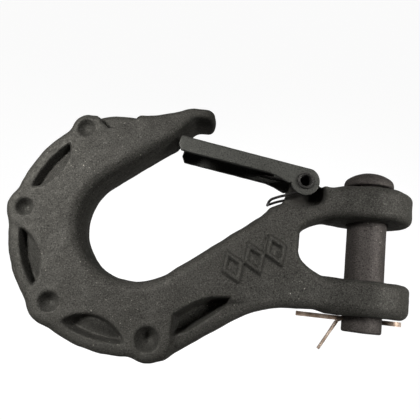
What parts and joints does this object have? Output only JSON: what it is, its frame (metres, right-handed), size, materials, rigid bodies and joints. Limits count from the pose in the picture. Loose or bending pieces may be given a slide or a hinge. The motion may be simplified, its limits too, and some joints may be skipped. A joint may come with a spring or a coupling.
{
  "type": "clevis slip hook",
  "caption": "Forged clevis slip hook for a safety chain, with a sprung throat latch and a headed clevis pin kept in by a cotter pin.",
  "frame": {"origin": "under the middle of the whole part, on the plane that the two clevis eyes rest on when the hook lies flat", "axes": "+X from the bowl to the clevis, +Y to the beak's side and the clevis pin's head, +Z square to the hook's flat faces, up when it lies flat"},
  "size_m": [0.134, 0.0846, 0.0285],
  "materials": {
    "forged_black": "matt, sand-blasted under a thin black coat",
    "latch_black": "satin black coat on pressed sheet",
    "rivet_black": "satin, rolled rims",
    "spring_wire": "dark oiled wire",
    "pin_black": "satin black coat",
    "cotter_steel": "brown-tinted bare wire"
  },
  "bodies": {
    "hook": {"hook_body": "forged_black", "latch_spring": "spring_wire"},
    "latch": {"latch": "latch_black", "latch_rivet": "rivet_black"},
    "pin": {"clevis_pin": "pin_black", "cotter_pin": "cotter_steel"}
  },
  "joints": [
    {"name": "latch_hinge", "type": "hinge", "parent": "hook", "child": "latch", "pos_m": [0.02999, 0.02112, 0.01427], "axis": [0, 0, 1], "range_deg": [0, 46], "stiffness_Nm_per_rad": 0.15, "springref_deg": -45.84, "deforming": ["latch_spring"]},
    {"name": "clevis_pin_turn", "type": "hinge", "parent": "hook", "child": "pin", "pos_m": [0.05274, 0.00012, 0.01427], "axis": [0, 1, 0], "continuous": true}
  ]
}
